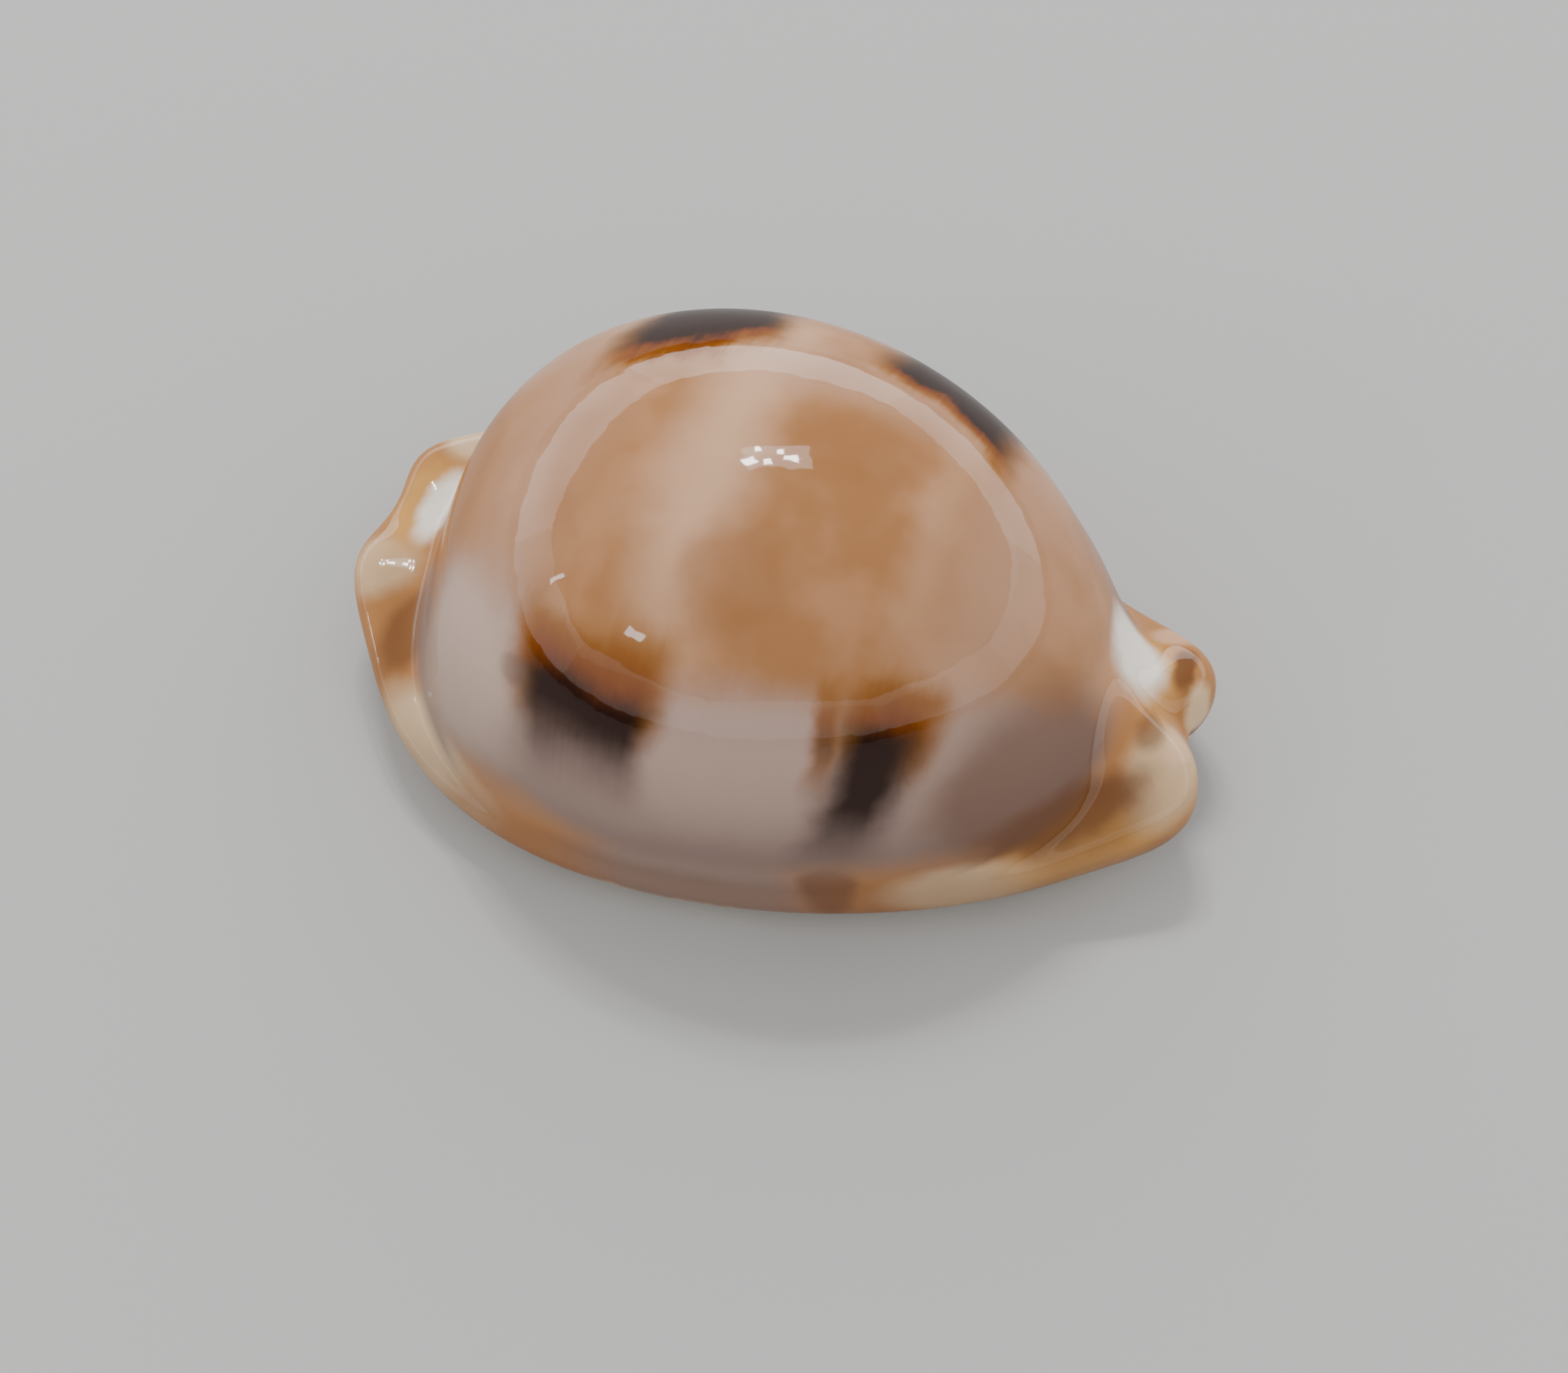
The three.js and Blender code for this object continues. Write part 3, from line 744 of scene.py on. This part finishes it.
class CowrieSizes(bpy.types.PropertyGroup):
    """Sizes of the shell."""

    crown_height: length_setting("Crown Height", "From the resting plane to the top of the dome",
                                 NODE_TOP, 0.005, 0.05)
    waist_height: length_setting("Waist Height", "Height at which the dome is widest", 0.004, 0.001, 0.02)
    dome_half_length: length_setting("Dome Half Length", "Half the length of the rounded dome",
                                     0.0115, 0.005, 0.05)
    dome_half_width: length_setting("Dome Half Width", "Half the width of the rounded dome",
                                    0.010, 0.004, 0.04)
    rim_half_length: length_setting("Rim Half Length", "Half the length of the rim without its ears",
                                    0.01465, 0.006, 0.06)
    rim_half_width: length_setting("Rim Half Width", "Half the width of the rim", 0.01003, 0.004, 0.04)
    slit_half_length: length_setting("Slit Half Length", "Half the length of the slit in the base",
                                     0.0116, 0.004, 0.05)
    slit_half_width: length_setting("Slit Half Width", "Half the gap between the two lips",
                                    0.0008, 0.0003, 0.004)
    canal_rise: length_setting("Canal Rise", "How far the canals are arched above the base",
                               0.0032, 0.0, 0.006)
    tooth_height: length_setting("Tooth Height", "How far the teeth stand out of the lips",
                                 TOOTH_HEIGHT, 0.0, 0.001)
    outer_teeth: count_setting("Outer Lip Teeth", "Teeth along the outer lip", OUTER_TEETH, 0, 60)
    inner_teeth: count_setting("Inner Lip Teeth", "Teeth along the inner lip", INNER_TEETH, 0, 60)
    columns: count_setting("Columns", "Divisions of the mesh round the shell", 736, 48, 2000)


class CowrieColours(bpy.types.PropertyGroup):
    """Colours of the shell."""

    tan: colour_setting("Tan", "Ground colour of the crown", (0.35, 0.152, 0.054))
    deep: colour_setting("Deep Tan", "Deeper patches of the crown", (0.30, 0.125, 0.042))
    warm: colour_setting("Warm Tan", "Warmer patches of the crown", (0.42, 0.2, 0.092))
    rose: colour_setting("Rose", "Outer part of the crown", (0.45, 0.265, 0.175))
    pale: colour_setting("Pale Bands", "Bands across the crown", (0.74, 0.47, 0.31))
    lilac: colour_setting("Lilac", "Grey lilac of the flanks", (0.42, 0.288, 0.238))
    gold: colour_setting("Gold", "Edges of the dark marks", (0.28, 0.105, 0.014))
    rust: colour_setting("Rust", "Upper part of the dark marks", (0.17, 0.04, 0.004))
    dark: colour_setting("Dark", "Heart of the dark marks", (0.022, 0.008, 0.005))
    # this grey is partly milky enamel and partly painted reflection
    enamel_and_reflection: colour_setting("Veiled", "Foot of the dark marks, under thin enamel", (0.13, 0.085, 0.075))
    milk: colour_setting("Milk", "Palest part of the flanks", (0.68, 0.52, 0.41))
    # mauve is painted shade on the lower flanks
    mauve_shade: colour_setting("Mauve", "Lower part of the flanks", (0.22, 0.15, 0.125))
    margin: colour_setting("Margin", "Lower flanks above the base", (0.27, 0.185, 0.15))
    cream: colour_setting("Cream", "Cream of the rim", (0.66, 0.48, 0.29))
    amber: colour_setting("Amber", "Ground colour of the rim", (0.38, 0.165, 0.052))
    ochre: colour_setting("Ochre", "Rings round the white spots", (0.60, 0.31, 0.08))
    # umber is painted shade, low on the rim and on the flank near the front canal
    umber_shade: colour_setting("Umber", "Shade of the flank near the front canal", (0.15, 0.08, 0.055))
    # this brown serves brown marks and also painted shade in the grooves and pits
    brown_and_groove_shade: colour_setting("Brown", "Brown of the grooves", (0.12, 0.042, 0.012))
    white: colour_setting("White", "White spots and teeth", (0.80, 0.74, 0.66))
    base: colour_setting("Base", "Underside", (0.70, 0.58, 0.45))
    lip: colour_setting("Lips", "Lips beside the slit", (0.74, 0.64, 0.52))
    inside: colour_setting("Inside", "Inside of the hollow", (0.50, 0.42, 0.42))


class StudioSettings(bpy.types.PropertyGroup):
    """Floor and light of the studio."""

    floor_colour: colour_setting("Floor", "Colour of the floor", (0.47, 0.47, 0.465))
    air_brightness: brightness_setting("Air", "Brightness of the room round the floor", 0.1)
    ceiling_size: length_setting("Ceiling Size", "Length of each side of the soft ceiling",
                                 3.4, 0.1, 10.0)
    ceiling_height: length_setting("Ceiling Height", "Height of the soft ceiling above the floor",
                                   0.6, 0.1, 5.0)
    ceiling_brightness: brightness_setting("Ceiling", "Brightness of the soft ceiling", 0.8)
    wing_drop: length_setting("Wing Drop", "How far the soft wings reach down from the ceiling",
                              0.48, 0.05, 5.0)
    wing_brightness: brightness_setting("Wings", "Brightness of the soft wings", 2.45)
    lamp_brightness: brightness_setting("Lamp", "Brightness of the small lamps", 120.0)


# ---------------------------------------------------------------- operators


class COWRIE_OT_shell(bpy.types.Operator):
    """Build the shell: skin, lips with teeth and hollow in one closed piece"""

    bl_idname = "cowrie.shell"
    bl_label = "Build Shell"

    def execute(self, context):
        sizes = context.scene.cowrie_sizes
        material = shell_material(context.scene.cowrie_colours)
        piece = bpy.data.objects.new("cowrie_shell", skin_mesh(sizes))
        context.scene.collection.objects.link(piece)
        tree, keys = teeth_tree(material)
        modifier = piece.modifiers.new("Lip Teeth", "NODES")
        modifier.node_group = tree
        for name, key in keys.items():
            modifier[key] = getattr(sizes, name)
        mesh = evaluated_mesh(piece)
        piece.modifiers.remove(modifier)
        piece.data = mesh
        mesh.materials.clear()
        mesh.materials.append(material)
        mesh.shade_smooth()
        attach(piece, "root")
        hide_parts(NODE)
        return {"FINISHED"}


class COWRIE_OT_studio(bpy.types.Operator):
    """Build the floor, the soft lights and the camera"""

    bl_idname = "cowrie.studio"
    bl_label = "Build Studio"

    def execute(self, context):
        studio = context.scene.studio_settings
        build_floor(context.scene, studio)
        build_lights(context.scene, studio)
        build_camera(context.scene)
        return {"FINISHED"}


# ---------------------------------------------------------------- studio

# The camera: degrees round and above the shell, metres from the point it looks at, and the aim's offset
LOOK_AZIMUTH, LOOK_ELEVATION = 20, 54
LOOK_DISTANCE = 0.1235
LOOK_AT = Vector((0.000055, -0.00011, 0.0048))
LOOK_DROP, LOOK_LEFT = 0.00238, 0.000053
LENS = 84.26

FLOOR_HALF = 3.0
LAMP_DISTANCE = 0.55

# Wings that hang from the ceiling in an octagon: azimuth in degrees, share of their brightness
WINGS = (
    (20, 0.65), (65, 0.85), (110, 1.15), (155, 1.8),
    (200, 2.4), (245, 1.75), (290, 1.1), (335, 0.75),
)

# Small lamps: azimuth, elevation, width, height, share of their brightness
LAMPS = (
    (204, 60, 0.16, 0.09, 0.08),
    (219, 60, 0.026, 0.026, 1.0),
    (213, 56, 0.016, 0.02, 1.0),
    (210, 62, 0.02, 0.026, 1.0),
    (203, 58, 0.016, 0.022, 1.0),
    (198, 61, 0.034, 0.024, 1.0),
    (286, 20, 0.014, 0.05, 0.2),
    (324, 32, 0.06, 0.03, 0.2),
)


def direction(azimuth, elevation):
    """Unit vector from the shell to where azimuth and elevation point, in degrees. Azimuth 0 is -Y."""
    a, e = math.radians(azimuth), math.radians(elevation)
    return Vector((math.sin(a) * math.cos(e), -math.cos(a) * math.cos(e), math.sin(e)))


def build_floor(scene, studio):
    """A plain pale floor, and the faint light of the room round it."""
    mesh = bpy.data.meshes.new("studio_floor")
    corners = [(x * FLOOR_HALF, y * FLOOR_HALF, 0) for x, y in ((-1, -1), (1, -1), (1, 1), (-1, 1))]
    mesh.from_pydata(corners, [], [(0, 1, 2, 3)])
    floor = bpy.data.objects.new("studio_floor", mesh)
    scene.collection.objects.link(floor)
    material = bpy.data.materials.new("floor_paper")
    material.use_nodes = True
    shader = material.node_tree.nodes["Principled BSDF"]
    shader.inputs["Base Color"].default_value = (*studio.floor_colour, 1)
    shader.inputs["Roughness"].default_value = 0.9
    shader.inputs["Specular IOR Level"].default_value = 0.1
    mesh.materials.append(material)
    world = bpy.data.worlds.new("studio_air")
    world.use_nodes = True
    air = world.node_tree.nodes["Background"]
    air.inputs["Color"].default_value = (1.0, 0.98, 0.95, 1)
    air.inputs["Strength"].default_value = studio.air_brightness
    scene.world = world


def softbox(scene, name, place, facing, width, height, brightness):
    """A rectangular light at a place, facing a point, of even brightness. The camera doesn't see it."""
    light = bpy.data.lights.new(name, "AREA")
    light.shape, light.size, light.size_y = "RECTANGLE", width, height
    light.energy = math.pi * width * height * brightness
    lamp = bpy.data.objects.new(name, light)
    lamp.location = place
    lamp.rotation_mode = "QUATERNION"
    lamp.rotation_quaternion = (Vector(place) - Vector(facing)).to_track_quat("Z", "Y")
    lamp.visible_camera = False
    scene.collection.objects.link(lamp)


def build_lights(scene, studio):
    """A wide soft ceiling with wings hanging round it, and a few small bright lamps."""
    size, drop, above = studio.ceiling_size, studio.wing_drop, studio.ceiling_height
    softbox(scene, "ceiling", (0, 0, above), (0, 0, 0), size, size, studio.ceiling_brightness)
    middle = Vector((0, 0, above - drop / 2))
    side = size * math.tan(math.pi / len(WINGS))
    for azimuth, share in WINGS:
        place = middle + direction(azimuth, 0) * (size / 2)
        softbox(scene, f"wing_{azimuth}", place, middle, side, drop, share * studio.wing_brightness)
    for number, (azimuth, elevation, width, height, share) in enumerate(LAMPS):
        place = direction(azimuth, elevation) * LAMP_DISTANCE
        brightness = share * studio.lamp_brightness
        softbox(scene, f"small_lamp_{number}", place, (0, 0, 0), width, height, brightness)


def build_camera(scene):
    data = bpy.data.cameras.new("camera")
    data.sensor_width, data.lens = 36.0, LENS
    data.clip_start, data.clip_end = 0.005, 20
    camera = bpy.data.objects.new("camera", data)
    back = direction(LOOK_AZIMUTH, LOOK_ELEVATION)
    right = direction(LOOK_AZIMUTH + 90, 0)
    up = back.cross(right)
    camera.location = LOOK_AT + back * LOOK_DISTANCE
    aim = LOOK_AT - up * LOOK_DROP - right * LOOK_LEFT
    camera.rotation_mode = "QUATERNION"
    camera.rotation_quaternion = (camera.location - aim).to_track_quat("Z", "Y")
    scene.collection.objects.link(camera)
    scene.camera = camera


# ---------------------------------------------------------------- panel and start


class COWRIE_PT_panel(bpy.types.Panel):
    """Lists the shell's settings and its operators"""

    bl_label = "Cowrie"
    bl_idname = "COWRIE_PT_panel"
    bl_space_type = "VIEW_3D"
    bl_region_type = "UI"
    bl_category = "Cowrie"

    def draw(self, context):
        layout = self.layout
        scene = context.scene
        for group in (scene.cowrie_sizes, scene.cowrie_colours, scene.studio_settings):
            box = layout.box()
            for name in group.bl_rna.properties.keys():
                if name not in {"rna_type", "name"}:
                    box.prop(group, name)
        for operator in (COWRIE_OT_shell, COWRIE_OT_studio):
            layout.operator(operator.bl_idname)


CLASSES = (CowrieSizes, CowrieColours, StudioSettings, COWRIE_OT_shell, COWRIE_OT_studio, COWRIE_PT_panel)


def register():
    for item in CLASSES:
        bpy.utils.register_class(item)
    bpy.types.Scene.cowrie_sizes = PointerProperty(type=CowrieSizes)
    bpy.types.Scene.cowrie_colours = PointerProperty(type=CowrieColours)
    bpy.types.Scene.studio_settings = PointerProperty(type=StudioSettings)


def unregister():
    del bpy.types.Scene.studio_settings
    del bpy.types.Scene.cowrie_colours
    del bpy.types.Scene.cowrie_sizes
    for item in reversed(CLASSES):
        bpy.utils.unregister_class(item)


def main():
    register()
    bpy.ops.cowrie.shell()
    bpy.ops.cowrie.studio()


if __name__ == "__main__":
    main()
